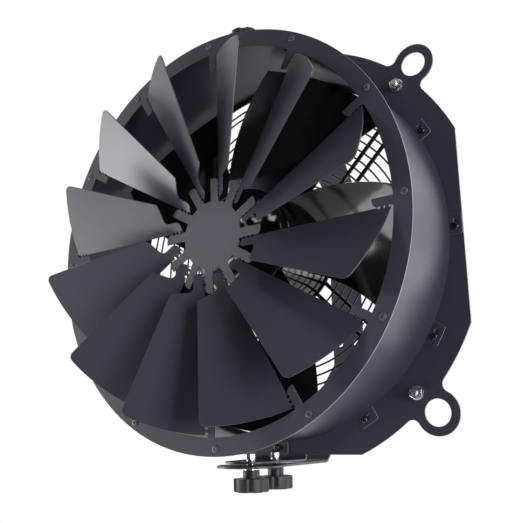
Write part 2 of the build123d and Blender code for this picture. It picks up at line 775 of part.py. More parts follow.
def blade_section(station):
    # Station 0 is inside the rotor and 1 beyond the tip; each section lies across its radius
    radius = blade_inner_r + station * (blade_outer_r - blade_inner_r)
    span = blade_root_span + station * (blade_tip_span - blade_root_span)
    chord = hypot(span, blade_depth)
    pitch = degrees(atan2(blade_depth, span))
    turn = radians(blade_turn + station**blade_sweep_power * blade_sweep)
    outwards = Vector(sin(turn), 0, cos(turn))
    across = Vector(cos(turn), 0, -sin(turn))
    plane = Plane(outwards * radius + Vector(0, blade_middle_y, 0), x_dir=across, z_dir=outwards)
    bow = chord * blade_camber
    with BuildSketch(plane.rotated((0, 0, pitch))) as section:
        with BuildLine():
            ThreePointArc((-chord / 2, 0), (0, bow), (chord / 2, 0))
            Line((chord / 2, 0), (chord / 2, blade_sheet))
            ThreePointArc((chord / 2, blade_sheet), (0, bow + blade_sheet), (-chord / 2, blade_sheet))
            Line((-chord / 2, blade_sheet), (-chord / 2, 0))
        make_face()
    return section.sketch


# Impeller: sickle blades lofted from root to tip and trimmed round, on a ring pressed on the rotor
ring_front_y = blade_middle_y - impeller_ring_length / 2
with BuildPart() as blade:
    loft([blade_section(station).faces()[0] for station in (0, 0.35, 0.7, 1)])
    with BuildSketch(front_plane(blade_middle_y + blade_tip_span)):
        Circle(blade_tip_r)
        Circle(rotor_r + impeller_ring_wall / 2, mode=Mode.SUBTRACT)
    extrude(amount=2 * blade_tip_span, mode=Mode.INTERSECT)

with BuildPart() as impeller:
    with BuildSketch(front_plane(ring_front_y)):
        Circle(rotor_r + impeller_ring_wall)
        Circle(rotor_r, mode=Mode.SUBTRACT)
    extrude(amount=-impeller_ring_length)
    for index in range(blade_count):
        add(blade.part, rotation=(0, index * 360 / blade_count, 0))
export(impeller.part, "impeller")
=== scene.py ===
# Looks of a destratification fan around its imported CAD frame, in metres
import bpy
import json
import math
from mathutils import Matrix, Vector

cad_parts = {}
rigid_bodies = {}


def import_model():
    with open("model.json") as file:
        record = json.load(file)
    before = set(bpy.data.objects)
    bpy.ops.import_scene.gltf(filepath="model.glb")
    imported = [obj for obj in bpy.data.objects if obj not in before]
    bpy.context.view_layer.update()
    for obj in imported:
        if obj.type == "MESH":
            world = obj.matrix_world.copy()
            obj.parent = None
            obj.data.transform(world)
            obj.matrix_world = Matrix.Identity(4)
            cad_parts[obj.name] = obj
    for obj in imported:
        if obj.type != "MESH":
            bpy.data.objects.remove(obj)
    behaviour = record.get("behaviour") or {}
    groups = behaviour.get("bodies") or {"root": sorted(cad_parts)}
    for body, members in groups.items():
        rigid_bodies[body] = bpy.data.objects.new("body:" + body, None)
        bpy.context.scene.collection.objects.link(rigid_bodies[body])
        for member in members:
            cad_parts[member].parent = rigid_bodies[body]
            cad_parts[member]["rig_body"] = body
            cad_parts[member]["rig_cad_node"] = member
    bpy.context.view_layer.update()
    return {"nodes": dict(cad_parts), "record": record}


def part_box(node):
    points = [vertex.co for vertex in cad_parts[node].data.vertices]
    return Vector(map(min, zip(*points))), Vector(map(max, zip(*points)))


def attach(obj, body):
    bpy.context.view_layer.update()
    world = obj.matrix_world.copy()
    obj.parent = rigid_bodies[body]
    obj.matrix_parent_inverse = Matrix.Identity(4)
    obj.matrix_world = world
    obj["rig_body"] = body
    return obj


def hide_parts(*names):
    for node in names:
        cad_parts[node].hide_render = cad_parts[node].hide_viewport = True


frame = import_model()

nodes = frame["nodes"]
print("frame loaded:", len(nodes), "nodes")


# Small helpers for node trees
def newGroup(name, inputs, outputs):
    group = bpy.data.node_groups.new(name, "ShaderNodeTree")
    for socketName, socketType, value in inputs:
        socket = group.interface.new_socket(socketName, in_out="INPUT", socket_type=socketType)
        if value is not None:
            socket.default_value = value
    for socketName, socketType in outputs:
        group.interface.new_socket(socketName, in_out="OUTPUT", socket_type=socketType)
    return group, group.nodes.new("NodeGroupInput"), group.nodes.new("NodeGroupOutput")


def link(tree, start, end):
    tree.links.new(start, end)


def feed(tree, socket, value):
    # a number goes on the socket itself, anything else is linked to it
    if isinstance(value, (int, float)):
        socket.default_value = value
    else:
        link(tree, value, socket)


def mathNode(tree, operation, first, second):
    node = tree.nodes.new("ShaderNodeMath")
    node.operation = operation
    feed(tree, node.inputs[0], first)
    feed(tree, node.inputs[1], second)
    return node.outputs[0]


def noiseNode(tree, vector, scale, detail, rough):
    node = tree.nodes.new("ShaderNodeTexNoise")
    node.inputs["Detail"].default_value = detail
    node.inputs["Roughness"].default_value = rough
    feed(tree, node.inputs["Scale"], scale)
    link(tree, vector, node.inputs["Vector"])
    return node.outputs["Fac"]


def rangeNode(tree, value, low, high, toLow, toHigh):
    node = tree.nodes.new("ShaderNodeMapRange")
    for socketName, number in (("From Min", low), ("From Max", high), ("To Min", toLow), ("To Max", toHigh)):
        feed(tree, node.inputs[socketName], number)
    link(tree, value, node.inputs["Value"])
    return node.outputs["Result"]


# Powder coat: fine grain, a slow orange-peel wave and soft clouds of sheen
powderShape = {
    "grain": (3.0, 0.6), "peel": (1.0, 0.4), "cloud": (2.0, 0.5),  # detail and roughness of each noise
    "peelScale": 0.22, "grainHeight": 0.7, "peelHeight": 0.5,
    "speck": (0.42, 0.66), "sheen": (0.3, 0.7),  # ranges of grain and cloud that are spread over 0 to 1
}
powderInputs = [
    ("Vector", "NodeSocketVector", None),
    ("Grain", "NodeSocketFloat", 1400.0),
    ("Cloud", "NodeSocketFloat", 9.0),
]
powderOutputs = [(name, "NodeSocketFloat") for name in ("Height", "Speck", "Sheen")]
powderGroup, groupIn, groupOut = newGroup("powderGrain", powderInputs, powderOutputs)
place, grainScale, cloudScale = (groupIn.outputs[name] for name in ("Vector", "Grain", "Cloud"))
peelScale = mathNode(powderGroup, "MULTIPLY", grainScale, powderShape["peelScale"])
grain = noiseNode(powderGroup, place, grainScale, *powderShape["grain"])
peel = noiseNode(powderGroup, place, peelScale, *powderShape["peel"])
cloud = noiseNode(powderGroup, place, cloudScale, *powderShape["cloud"])
grainHeight = mathNode(powderGroup, "MULTIPLY", grain, powderShape["grainHeight"])
peelHeight = mathNode(powderGroup, "MULTIPLY", peel, powderShape["peelHeight"])
link(powderGroup, mathNode(powderGroup, "ADD", grainHeight, peelHeight), groupOut.inputs["Height"])
link(powderGroup, rangeNode(powderGroup, grain, *powderShape["speck"], 0.0, 1.0), groupOut.inputs["Speck"])
link(powderGroup, rangeNode(powderGroup, cloud, *powderShape["sheen"], 0.0, 1.0), groupOut.inputs["Sheen"])

# Metal: drawn streaks along one axis of the vector, with patches
metalShape = {"streak": (3.0, 0.5), "patch": (4.0, 0.6), "patches": (0.3, 0.7)}
metalInputs = [
    ("Vector", "NodeSocketVector", None),
    ("Fine", "NodeSocketFloat", 900.0),
    ("Patch", "NodeSocketFloat", 60.0),
]
metalOutputs = [(name, "NodeSocketFloat") for name in ("Height", "Patches")]
metalGroup, groupIn, groupOut = newGroup("metalTrace", metalInputs, metalOutputs)
place, fineScale, patchScale = (groupIn.outputs[name] for name in ("Vector", "Fine", "Patch"))
streak = noiseNode(metalGroup, place, fineScale, *metalShape["streak"])
patch = noiseNode(metalGroup, place, patchScale, *metalShape["patch"])
link(metalGroup, streak, groupOut.inputs["Height"])
link(metalGroup, rangeNode(metalGroup, patch, *metalShape["patches"], 0.0, 1.0), groupOut.inputs["Patches"])


# Materials
def newMaterial(name):
    material = bpy.data.materials.new(name)
    material.use_nodes = True
    tree = material.node_tree
    shader = tree.nodes["Principled BSDF"]
    place = tree.nodes.new("ShaderNodeTexCoord").outputs["Object"]
    return material, tree, shader, place


def colourMix(tree, factor, first, second):
    node = tree.nodes.new("ShaderNodeMix")
    node.data_type = "RGBA"
    link(tree, factor, node.inputs["Factor"])
    node.inputs["A"].default_value = (*first, 1.0)
    node.inputs["B"].default_value = (*second, 1.0)
    return node.outputs["Result"]


def finishShader(tree, shader, look, effect, colourMask, roughMask):
    # colour, roughness and bump from the masks and the height that the effect's group puts out
    colour = colourMix(tree, effect.outputs[colourMask], look["dark"], look["light"])
    link(tree, colour, shader.inputs["Base Color"])
    rough = rangeNode(tree, effect.outputs[roughMask], 0.0, 1.0, look["roughLow"], look["roughHigh"])
    link(tree, rough, shader.inputs["Roughness"])
    bump = tree.nodes.new("ShaderNodeBump")
    bump.inputs["Strength"].default_value = look["bump"]
    bump.inputs["Distance"].default_value = look["bumpDepth"]
    link(tree, effect.outputs["Height"], bump.inputs["Height"])
    link(tree, bump.outputs["Normal"], shader.inputs["Normal"])


def powderMaterial(name, look):
    material, tree, shader, place = newMaterial(name)
    powder = tree.nodes.new("ShaderNodeGroup")
    powder.node_tree = powderGroup
    powder.inputs["Grain"].default_value = look["grain"]
    powder.inputs["Cloud"].default_value = look["cloud"]
    link(tree, place, powder.inputs["Vector"])
    shader.inputs["Specular IOR Level"].default_value = look["specular"]
    finishShader(tree, shader, look, powder, "Speck", "Sheen")
    return material


def metalMaterial(name, look):
    material, tree, shader, place = newMaterial(name)
    trace = tree.nodes.new("ShaderNodeGroup")
    trace.node_tree = metalGroup
    trace.inputs["Fine"].default_value = look["fine"]
    trace.inputs["Patch"].default_value = look["patch"]
    mapping = tree.nodes.new("ShaderNodeMapping")
    mapping.inputs["Scale"].default_value = look["stretch"]
    link(tree, place, mapping.inputs["Vector"])
    link(tree, mapping.outputs["Vector"], trace.inputs["Vector"])
    shader.inputs["Metallic"].default_value = look["metallic"]
    finishShader(tree, shader, look, trace, "Patches", "Patches")
    return material


powderLooks = {
    "sheetPaint": {
        "dark": (0.031, 0.034, 0.048), "light": (0.042, 0.046, 0.064), "grain": 1500.0, "cloud": 7.0,
        "roughLow": 0.36, "roughHigh": 0.42, "specular": 0.5, "bump": 0.25, "bumpDepth": 0.0002,
    },
    "paintedEdgeHighlight": {  # the same coat, coloured lighter on a cut edge as a painted highlight
        "dark": (0.21, 0.22, 0.24), "light": (0.30, 0.31, 0.34), "grain": 1500.0, "cloud": 40.0,
        "roughLow": 0.30, "roughHigh": 0.40, "specular": 0.5, "bump": 0.2, "bumpDepth": 0.0001,
    },
    "guardPaint": {
        "dark": (0.007, 0.007, 0.007), "light": (0.012, 0.012, 0.012), "grain": 1200.0, "cloud": 20.0,
        "roughLow": 0.32, "roughHigh": 0.42, "specular": 0.5, "bump": 0.15, "bumpDepth": 0.0002,
    },
    "impellerPaint": {
        "dark": (0.004, 0.004, 0.004), "light": (0.007, 0.007, 0.007), "grain": 700.0, "cloud": 14.0,
        "roughLow": 0.06, "roughHigh": 0.10, "specular": 0.5, "bump": 0.06, "bumpDepth": 0.0002,
    },
    "knobPlastic": {
        "dark": (0.012, 0.012, 0.012), "light": (0.022, 0.022, 0.022), "grain": 1800.0, "cloud": 60.0,
        "roughLow": 0.42, "roughHigh": 0.55, "specular": 0.5, "bump": 0.2, "bumpDepth": 0.0001,
    },
    "glandPlastic": {
        "dark": (0.014, 0.014, 0.015), "light": (0.024, 0.024, 0.025), "grain": 1600.0, "cloud": 60.0,
        "roughLow": 0.35, "roughHigh": 0.45, "specular": 0.5, "bump": 0.1, "bumpDepth": 0.0001,
    },
}
metalLooks = {
    "zincPlate": {
        "dark": (0.60, 0.61, 0.61), "light": (0.80, 0.81, 0.82), "fine": 2500.0, "patch": 350.0,
        "stretch": (1, 1, 1), "roughLow": 0.18, "roughHigh": 0.30, "metallic": 1.0,
        "bump": 0.1, "bumpDepth": 0.0001,
    },
    "darkZinc": {
        "dark": (0.05, 0.05, 0.055), "light": (0.12, 0.12, 0.13), "fine": 2500.0, "patch": 350.0,
        "stretch": (1, 1, 1), "roughLow": 0.20, "roughHigh": 0.32, "metallic": 1.0,
        "bump": 0.1, "bumpDepth": 0.0001,
    },
    "rivetMetal": {  # painted over with the sheet, so it isn't a bare metal
        "dark": (0.05, 0.054, 0.062), "light": (0.10, 0.105, 0.115), "fine": 2200.0, "patch": 300.0,
        "stretch": (1, 1, 1), "roughLow": 0.32, "roughHigh": 0.45, "metallic": 0.0,
        "bump": 0.1, "bumpDepth": 0.0001,
    },
    "groundSteel": {
        "dark": (0.40, 0.40, 0.41), "light": (0.56, 0.56, 0.57), "fine": 1200.0, "patch": 90.0,
        "stretch": (1, 12, 1), "roughLow": 0.22, "roughHigh": 0.34, "metallic": 1.0,
        "bump": 0.08, "bumpDepth": 0.0001,
    },
    "castAluminium": {
        "dark": (0.30, 0.30, 0.31), "light": (0.46, 0.46, 0.47), "fine": 700.0, "patch": 120.0,
        "stretch": (1, 1, 1), "roughLow": 0.48, "roughHigh": 0.62, "metallic": 1.0,
        "bump": 0.3, "bumpDepth": 0.0002,
    },
    "copperWire": {
        "dark": (0.36, 0.13, 0.05), "light": (0.60, 0.26, 0.11), "fine": 500.0, "patch": 40.0,
        "stretch": (1, 1, 1), "roughLow": 0.25, "roughHigh": 0.4, "metallic": 1.0,
        "bump": 0.4, "bumpDepth": 0.0005,
    },
}
looks = {name: powderMaterial(name, look) for name, look in powderLooks.items()}
looks.update({name: metalMaterial(name, look) for name, look in metalLooks.items()})
slotLooks = {
    "sheet_paint": "sheetPaint", "guard_paint": "guardPaint", "impeller_paint": "impellerPaint",
    "stator_casting": "castAluminium", "bearing_steel": "groundSteel", "winding_copper": "copperWire",
    "zinc_hardware": "zincPlate", "rivet_metal": "rivetMetal", "knob_plastic": "knobPlastic",
    "gland_plastic": "glandPlastic",
}


def setLook(thing, look):
    thing.data.materials.clear()
    thing.data.materials.append(looks[look])


for entry in frame["record"]["subparts"]:
    setLook(nodes[entry["node"]], slotLooks[entry["material_slot"]])
print("materials on the CAD nodes")


# Helpers for modelling
def clearSelection():
    if bpy.context.mode != "OBJECT":
        bpy.ops.object.mode_set(mode="OBJECT")
    bpy.ops.object.select_all(action="DESELECT")


def selectOnly(thing):
    clearSelection()
    thing.select_set(True)
    bpy.context.view_layer.objects.active = thing


def pickFaces(thing, wanted):
    # edit mode with the wanted faces selected, by their centre and normal
    bpy.ops.object.mode_set(mode="EDIT")
    bpy.ops.mesh.select_mode(type="FACE")
    bpy.ops.mesh.select_all(action="DESELECT")
    bpy.ops.object.mode_set(mode="OBJECT")
    for face in thing.data.polygons:
        face.select = wanted(face.center, face.normal)
    bpy.ops.object.mode_set(mode="EDIT")


mergeDistance = 0.00001


def closeUp(smoothAngle):
    # the active piece: doubles merged, faces outwards, shading smooth up to the given angle
    bpy.ops.object.mode_set(mode="EDIT")
    bpy.ops.mesh.select_all(action="SELECT")
    bpy.ops.mesh.remove_doubles(threshold=mergeDistance)
    bpy.ops.mesh.normals_make_consistent(inside=False)
    bpy.ops.object.mode_set(mode="OBJECT")
    bpy.ops.object.shade_smooth_by_angle(angle=math.radians(smoothAngle))


def turned(name, sides, smoothAngle, profile):
    # a turned piece on the Z axis: the profile lists radius and height from its foot upwards
    clearSelection()
    radius, height = profile[0]
    bpy.ops.mesh.primitive_circle_add(
        vertices=sides, radius=radius, location=(0, 0, height), fill_type="NGON",
    )
    thing = bpy.context.object
    thing.name = name
    bpy.ops.object.mode_set(mode="EDIT")
    for nextRadius, nextHeight in profile[1:]:
        bpy.ops.mesh.extrude_region_move(TRANSFORM_OT_translate={"value": (0, 0, nextHeight - height)})
        grow = nextRadius / radius
        bpy.ops.transform.resize(value=(grow, grow, 1), center_override=(0, 0, nextHeight))
        radius, height = nextRadius, nextHeight
    bpy.ops.object.mode_set(mode="OBJECT")
    closeUp(smoothAngle)
    return thing


def applyPlace(thing):
    selectOnly(thing)
    bpy.ops.object.transform_apply(location=True, rotation=True, scale=True)


def joined(things):
    clearSelection()
    for thing in things:
        thing.select_set(True)
    bpy.context.view_layer.objects.active = things[0]
    bpy.ops.object.join()
    return bpy.context.object


def copiedAt(thing, places):
    # one copy for each (location, rotation), each with its own mesh, all joined
    copies = []
    for location, rotation in places:
        selectOnly(thing)
        bpy.ops.object.duplicate(linked=False)
        copy = bpy.context.object
        copy.location, copy.rotation_euler = location, rotation
        applyPlace(copy)
        copies.append(copy)
    bpy.data.objects.remove(thing)
    return joined(copies)


def finishPiece(thing, name, look, body, node):
    thing.name = name
    setLook(thing, look)
    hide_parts(node)
    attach(thing, body)
    print("piece:", name, len(thing.data.polygons), "faces")


def roundPlaces(radius, count, turn, y, face):
    # places round the fan axis for a piece that stands on y, its top forward (face -1) or back (1)
    tilt = math.pi / 2 if face < 0 else -math.pi / 2
    places = []
    for index in range(count):
        angle = math.radians(turn + index * 360 / count)
        places.append(((radius * math.cos(angle), y, radius * math.sin(angle)), (tilt, 0, 0)))
    return places


# Guard wires: round wire, the flat rings welded on the arms and the skirt's two behind the plate
guardWire = {
    "wire": 0.0024, "rings": 13, "pitch": 0.0112, "dip": 0.0003,
    "steps": 120, "sides": 10, "smooth": 60,
}
wireRadius = guardWire["wire"] / 2


def wireRings(name, node, places):
    # one ring for each (radius, y)
    wires = []
    for radius, ringY in places:
        clearSelection()
        bpy.ops.mesh.primitive_torus_add(
            major_radius=radius, minor_radius=wireRadius,
            major_segments=guardWire["steps"], minor_segments=guardWire["sides"],
            location=(0, ringY, 0), rotation=(math.pi / 2, 0, 0),
        )
        wires.append(bpy.context.object)
    rings = joined(wires)
    applyPlace(rings)
    closeUp(guardWire["smooth"])
    finishPiece(rings, name, "guardPaint", "housing", node)


low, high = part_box("guard_rings")
flatY = (low.y + high.y) / 2 + guardWire["dip"]
outerRadius = high.x - wireRadius
wireRings("guardWires", "guard_rings", [
    (outerRadius - index * guardWire["pitch"], flatY) for index in range(guardWire["rings"])
])
low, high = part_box("guard_skirt")
wireRings("skirtWires", "guard_skirt", [
    (high.x - wireRadius, ringY) for ringY in (low.y + wireRadius, high.y - wireRadius)
])

# Guard arms: one round rod from the motor plate out, forward to the plate, round the bolt and back
rod = {
    "radius": 0.0028, "spacing": 0.0185, "start": 0.040, "bend": 0.009, "nutCorner": 0.0075,
    "sides": 12, "bendSteps": 6, "loopSteps": 14, "smooth": 60, "firstTurn": 45,
}
low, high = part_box("guard_arms")
backY = high.y - rod["radius"]  # rod's centre along the flat back
footY = low.y + rod["radius"]  # and on the plate
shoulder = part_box("guard_skirt")[1].x + rod["radius"]
boltReach = (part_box("guard_nuts")[1].x - rod["nutCorner"]) * math.sqrt(2)  # the bolts sit on the diagonals
side = rod["spacing"] / 2
bend = rod["bend"]
flatRun = shoulder - bend - rod["start"]
riseRun = backY - footY - 2 * bend
footRun = boltReach - shoulder - bend


def goOn(x, y):
    bpy.ops.mesh.extrude_region_move(TRANSFORM_OT_translate={"value": (x, y, 0)})


def bendOn(steps, angle, centre, axis):
    bpy.ops.mesh.spin(steps=steps, angle=math.radians(angle), center=centre, axis=axis)


clearSelection()
bpy.ops.mesh.primitive_circle_add(
    vertices=rod["sides"], radius=rod["radius"], location=(rod["start"], backY, side),
    rotation=(0, math.pi / 2, 0), fill_type="NGON",
)
hairpin = bpy.context.object
bpy.ops.object.transform_apply(location=True, rotation=True, scale=True)
bpy.ops.object.mode_set(mode="EDIT")
bpy.ops.mesh.select_all(action="SELECT")
goOn(flatRun, 0)
bendOn(rod["bendSteps"], 90, (shoulder - bend, backY - bend, side), (0, 0, -1))
goOn(0, -riseRun)
bendOn(rod["bendSteps"], 90, (shoulder + bend, footY + bend, side), (0, 0, 1))
goOn(footRun, 0)
bendOn(rod["loopSteps"], 180, (boltReach, footY, 0), (0, 1, 0))  # round the bolt
goOn(-footRun, 0)
bendOn(rod["bendSteps"], 90, (shoulder + bend, footY + bend, -side), (0, 0, -1))
goOn(0, riseRun)
bendOn(rod["bendSteps"], 90, (shoulder - bend, backY - bend, -side), (0, 0, 1))
goOn(-flatRun, 0)
bpy.ops.object.mode_set(mode="OBJECT")
closeUp(rod["smooth"])
guardRods = copiedAt(hairpin, [
    ((0, 0, 0), (0, math.radians(rod["firstTurn"] + 90 * index), 0)) for index in range(4)
])
closeUp(rod["smooth"])
finishPiece(guardRods, "guardRods", "guardPaint", "housing", "guard_arms")

# Ring rivets: a low dome with the dimple that the drawn mandrel leaves, and the tail behind both sheets
rivet = {
    "circle": 0.2417, "count": 12, "turn": 0.9, "grip": 0.0027, "smooth": 50,
    "head": [  # radius and height
        (0.0020, 0.0), (0.0041, 0.0), (0.0042, 0.0003), (0.0040, 0.0008), (0.0034, 0.0012),
        (0.0026, 0.00145), (0.0018, 0.0015), (0.0013, 0.0013), (0.0011, 0.0004), (0.0006, 0.0002),
    ],
    "tail": [(0.0026, 0.0), (0.0029, 0.0005), (0.0027, 0.0016), (0.0018, 0.0022), (0.0008, 0.0023)],
}
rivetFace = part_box("guide_ring")[0].y


def rivetPlaces(y, face):
    return roundPlaces(rivet["circle"], rivet["count"], rivet["turn"], y, face)


rivetHead = turned("rivetHead", sides=24, smoothAngle=rivet["smooth"], profile=rivet["head"])
rivetHeads = copiedAt(rivetHead, rivetPlaces(rivetFace, -1))
rivetTail = turned("rivetTail", sides=16, smoothAngle=rivet["smooth"], profile=rivet["tail"])
rivetTails = copiedAt(rivetTail, rivetPlaces(rivetFace + rivet["grip"], 1))
ringRivets = joined([rivetHeads, rivetTails])
finishPiece(ringRivets, "ringRivets", "rivetMetal", "housing", "ring_rivets")

# Bolts, nuts and washers of the guard, on the plate's four corners
guardBolt = {
    "circle": 0.262, "count": 4, "turn": 45, "thread": 0.004, "pitch": 0.00125,
    "flats": 0.013, "nut": 0.0065, "head": 0.0053,
    "rounding": 0.0006, "smooth": 40, "corner": 0.12,  # corner: the end face's inset, a share of the flats
}
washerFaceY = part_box("guard_nuts")[1].y
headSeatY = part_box("guard_bolts")[1].y - guardBolt["head"]


def cornerPlaces(y, face):
    return roundPlaces(guardBolt["circle"], guardBolt["count"], guardBolt["turn"], y, face)


def hexPiece(name, depth):
    clearSelection()
    flats = guardBolt["flats"]
    bpy.ops.mesh.primitive_cylinder_add(
        vertices=6, radius=flats / math.sqrt(3), depth=depth, location=(0, 0, depth / 2),
    )
    thing = bpy.context.object
    thing.name = name
    pickFaces(thing, lambda centre, normal: abs(normal.z) > 0.9)  # both ends
    bpy.ops.mesh.inset(thickness=flats * guardBolt["corner"], depth=0.0)
    bpy.ops.object.mode_set(mode="OBJECT")
    applyPlace(thing)
    rounding = thing.modifiers.new("rounding", "BEVEL")
    rounding.width, rounding.segments = guardBolt["rounding"], 2
    rounding.angle_limit = math.radians(guardBolt["smooth"])
    bpy.ops.object.modifier_apply(modifier="rounding")
    closeUp(guardBolt["smooth"])
    return thing


# root, end and tip are shares of the radius
threadLook = {"root": 0.88, "end": 0.86, "tip": 0.4, "smooth": 35}


def threadProfile(radius, pitch, length):
    # crests and roots of a thread as rings, closed by a smaller flat end
    profile = [(radius, 0.0)]
    height = 0.0
    while height + pitch < length - pitch / 2:
        profile += [(radius * threadLook["root"], height + pitch / 2), (radius, height + pitch)]
        height += pitch
    return profile + [(radius * threadLook["end"], length), (radius * threadLook["tip"], length)]


guardNuts = copiedAt(hexPiece("nut", guardBolt["nut"]), cornerPlaces(washerFaceY, -1))
finishPiece(guardNuts, "guardNuts", "zincPlate", "housing", "guard_nuts")

heads = copiedAt(hexPiece("boltHead", guardBolt["head"]), cornerPlaces(headSeatY, 1))
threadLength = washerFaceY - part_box("guard_bolts")[0].y
tipProfile = threadProfile(guardBolt["thread"], guardBolt["pitch"], threadLength)
tip = turned("boltTip", sides=20, smoothAngle=threadLook["smooth"], profile=tipProfile)
tips = copiedAt(tip, cornerPlaces(washerFaceY, -1))
shankProfile = [(guardBolt["thread"], 0.0), (guardBolt["thread"], headSeatY - washerFaceY)]
shank = turned("shank", sides=16, smoothAngle=guardBolt["smooth"], profile=shankProfile)
shanks = copiedAt(shank, cornerPlaces(washerFaceY, 1))
guardBolts = joined([heads, tips, shanks])
finishPiece(guardBolts, "guardBolts", "zincPlate", "housing", "guard_bolts")

washer = {
    "thick": 0.0016, "hole": 0.0043, "chamfer": (0.0004, 0.0003), "smooth": 40,
    "frontRadius": 0.0080, "rearRadius": 0.01205,
}


def washersAt(sides, radius, y, face):
    # plain washers with broken edges, foot at y
    thick = washer["thick"]
    inwards, down = washer["chamfer"]
    profile = [
        (radius - inwards, 0.0), (radius, down), (radius, thick - down),
        (radius - inwards, thick), (washer["hole"], thick),
    ]
    thing = turned("washer", sides, washer["smooth"], profile)
    return copiedAt(thing, cornerPlaces(y, face))


frontWashers = washersAt(28, washer["frontRadius"], washerFaceY + washer["thick"], face=-1)
rearWashers = washersAt(32, washer["rearRadius"], headSeatY - washer["thick"], face=1)
guardWashers = joined([frontWashers, rearWashers])
finishPiece(guardWashers, "guardWashers", "zincPlate", "housing", "guard_washers")

# Drum screws: low pan heads with a driving recess, threads just through the plate
panScrew = {
    "circle": 0.2442, "count": 12, "turn": -0.8212, "thread": 0.002, "pitch": 0.0007,
    "seat": 0.0012, "behind": 0.004, "smooth": 45,
    "head": [  # radius and height
        (0.0038, 0.0), (0.0040, 0.0005), (0.0040, 0.0011), (0.0037, 0.0018), (0.0030, 0.0023),
        (0.0018, 0.0024), (0.0014, 0.0022), (0.0012, 0.0010), (0.0006, 0.0009),
    ],
}
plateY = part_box("drum")[1].y  # front face of the back plate
seatY = plateY - panScrew["seat"]


def screwPlaces(face):
    return roundPlaces(panScrew["circle"], panScrew["count"], panScrew["turn"], seatY, face)


panHead = turned("panHead", sides=24, smoothAngle=panScrew["smooth"], profile=panScrew["head"])
panHeads = copiedAt(panHead, screwPlaces(-1))
panProfile = threadProfile(panScrew["thread"], panScrew["pitch"], panScrew["seat"] + panScrew["behind"])
panTip = turned("panTip", sides=14, smoothAngle=threadLook["smooth"], profile=panProfile)
panTips = copiedAt(panTip, screwPlaces(1))
drumScrews = joined([panHeads, panTips])
finishPiece(drumScrews, "drumScrews", "darkZinc", "housing", "drum_screws")

# Pieces whose CAD shape is right and that only want their edges rounded
# edges past the sharp angle are rounded, faces within the flat angle are made one, both in degrees
soften = {"sharp": 35, "flat": 0.6, "faceWeight": 100}


def softenedCopy(node, width, segments):
    # the CAD piece again with its flat faces made whole and its edges rounded
    selectOnly(nodes[node])
    bpy.ops.object.duplicate(linked=False)
    copy = bpy.context.object
    bpy.ops.object.parent_clear(type="CLEAR_KEEP_TRANSFORM")
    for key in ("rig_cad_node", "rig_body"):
        del copy[key]  # the copy is a piece of the scene, no longer a CAD node
    bpy.ops.object.mode_set(mode="EDIT")
    bpy.ops.mesh.customdata_custom_splitnormals_clear()
    bpy.ops.mesh.select_all(action="SELECT")
    bpy.ops.mesh.remove_doubles(threshold=mergeDistance)
    bpy.ops.mesh.dissolve_limited(angle_limit=math.radians(soften["flat"]))
    bpy.ops.object.mode_set(mode="OBJECT")
    rounding = copy.modifiers.new("rounding", "BEVEL")
    rounding.width, rounding.segments = width, segments
    rounding.angle_limit = math.radians(soften["sharp"])
    rounding.miter_outer = "MITER_ARC"
    bpy.ops.object.modifier_apply(modifier="rounding")
    bpy.ops.object.shade_smooth_by_angle(angle=math.radians(soften["sharp"]))
    # the large faces keep their own normals, so only the rounded edges shade as curves
    evening = copy.modifiers.new("evening", "WEIGHTED_NORMAL")
    evening.keep_sharp = True
    evening.weight = soften["faceWeight"]
    bpy.ops.object.modifier_apply(modifier="evening")
    return copy


softened = [
    # piece, CAD node, edge radius, steps, look, slot, body
    ("guideRing", "guide_ring", 0.0004, 2, "sheetPaint", "sheet_paint", "housing"),
    ("guideHub", "guide_hub", 0.0004, 2, "sheetPaint", "sheet_paint", "housing"),
    ("drumShell", "drum", 0.0005, 2, "sheetPaint", "sheet_paint", "housing"),
    ("backPlate", "back_plate", 0.0006, 2, "sheetPaint", "sheet_paint", "housing"),
    ("wallBracket", "wall_bracket", 0.0006, 2, "sheetPaint", "sheet_paint", "bracket"),
    ("motorPlate", "motor_plate", 0.0004, 2, "guardPaint", "guard_paint", "housing"),
    ("swivelBolts", "swivel_bolts", 0.0004, 2, "zincPlate", "zinc_hardware", "housing"),
    ("headWashers", "head_washers", 0.0003, 2, "zincPlate", "zinc_hardware", "housing"),
    ("spacerWashers", "spacer_washers", 0.0003, 2, "zincPlate", "zinc_hardware", "housing"),
    ("knobWashers", "knob_washers", 0.0004, 2, "zincPlate", "zinc_hardware", "housing"),
    ("motorScrews", "motor_screws", 0.0004, 2, "zincPlate", "zinc_hardware", "housing"),
    ("rotorCan", "rotor_can", 0.0006, 2, "impellerPaint", "impeller_paint", "impeller_unit"),
    ("cableGland", "cable_gland", 0.0003, 2, "glandPlastic", "gland_plastic", "housing"),
]
knobs = {
    "pivotKnobTop": "pivot_knob_top", "lockKnobTop": "lock_knob_top",
    "pivotKnobBottom": "pivot_knob_bottom", "lockKnobBottom": "lock_knob_bottom",
}
for name, node in knobs.items():
    softened.append((name, node, 0.0012, 3, "knobPlastic", "knob_plastic", f"{node}_body"))
for number in range(1, 13):
    vane = f"vane_{number:02d}"
    softened.append((f"vane{number:02d}", vane, 0.0003, 2, "sheetPaint", "sheet_paint", f"{vane}_body"))
for name, node, width, steps, look, materialSlot, body in softened:
    finishPiece(softenedCopy(node, width, steps), name, look, body, node)

# Cut edges of the sheets, coloured lighter than the faces as a painted highlight
paintedEdgeHighlight = {
    "ringReach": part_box("guide_ring")[1].x - 0.001, "drumReach": 0.2375, "steep": 0.95, "flange": 0.046,
    "tabFront": plateY - 0.0016, "plateFront": plateY - 0.0001, "plateRear": plateY + 0.0021,
}


def isEdge(centre, normal, reach):
    return abs(normal.y) < paintedEdgeHighlight["steep"] and math.hypot(centre.x, centre.z) > reach


def onRing(centre, normal):
    return isEdge(centre, normal, paintedEdgeHighlight["ringReach"])


def onDrumTabs(centre, normal):
    return isEdge(centre, normal, paintedEdgeHighlight["drumReach"]) and centre.y > paintedEdgeHighlight["tabFront"]


